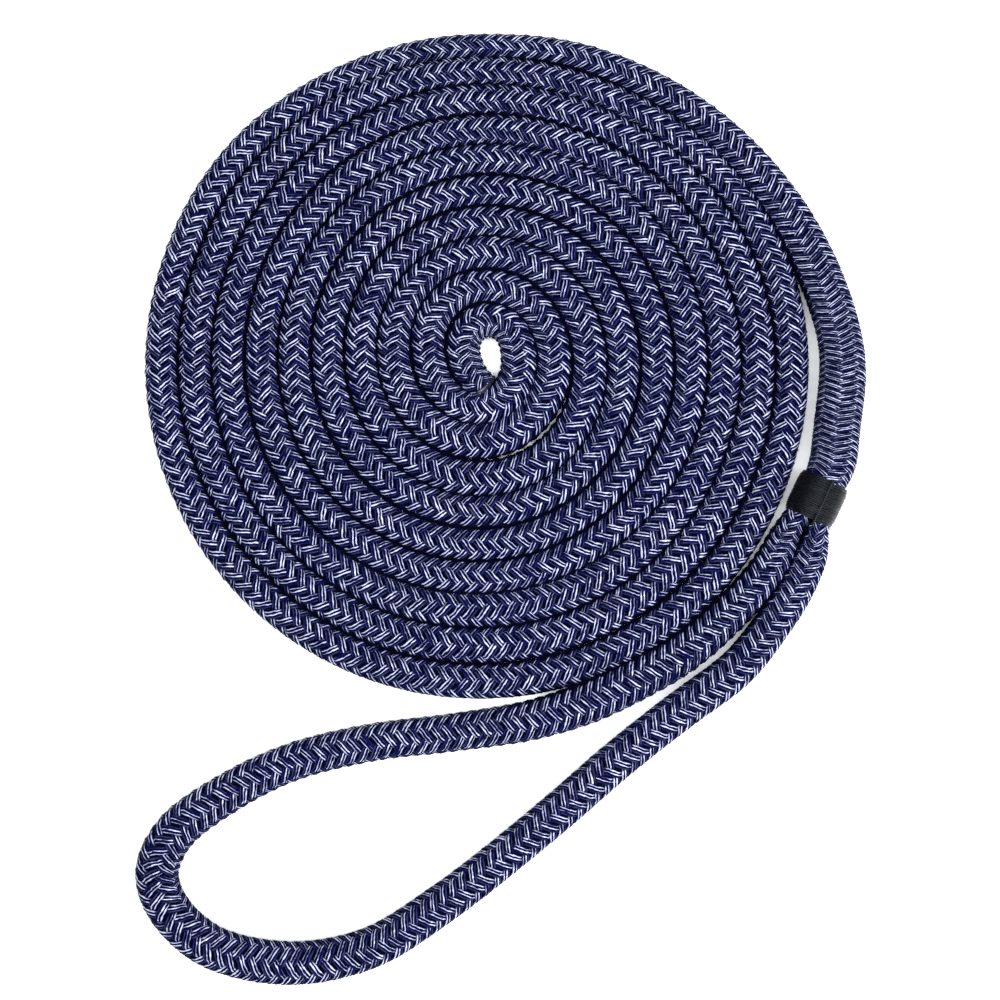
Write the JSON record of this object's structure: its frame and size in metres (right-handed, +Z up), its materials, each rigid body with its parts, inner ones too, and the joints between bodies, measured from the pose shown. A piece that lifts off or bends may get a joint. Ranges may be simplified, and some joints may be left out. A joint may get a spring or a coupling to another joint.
{
  "type": "coiled dock line",
  "caption": "Double-braid mooring rope laid as a flat spiral coil, with a spliced and whipped eye at its outer end and a heat-sealed inner end.",
  "frame": {"origin": "on the surface the line lies on, under the middle of the spiral, where the inner end starts", "axes": "+Z up from the surface; +Y along the line's longest extent, away from the eye; +X towards the whipped throat"},
  "size_m": [0.2927, 0.383, 0.0218],
  "materials": {
    "cover_braid": "navy nylon yarn, glossy filaments",
    "core_braid": "undyed nylon yarn",
    "whipping_twine": "black waxed twine",
    "melted_nylon": "nylon melted and set, dark navy"
  },
  "bodies": {
    "root": {"coiled_turns": "cover_braid", "sealed_end": "melted_nylon", "splice_cover": "cover_braid", "splice_core": "core_braid", "buried_tail": "cover_braid", "eye_cover": "cover_braid", "eye_core": "core_braid", "throat_whipping": "whipping_twine", "whipping_stitch": "whipping_twine"}
  },
  "joints": []
}
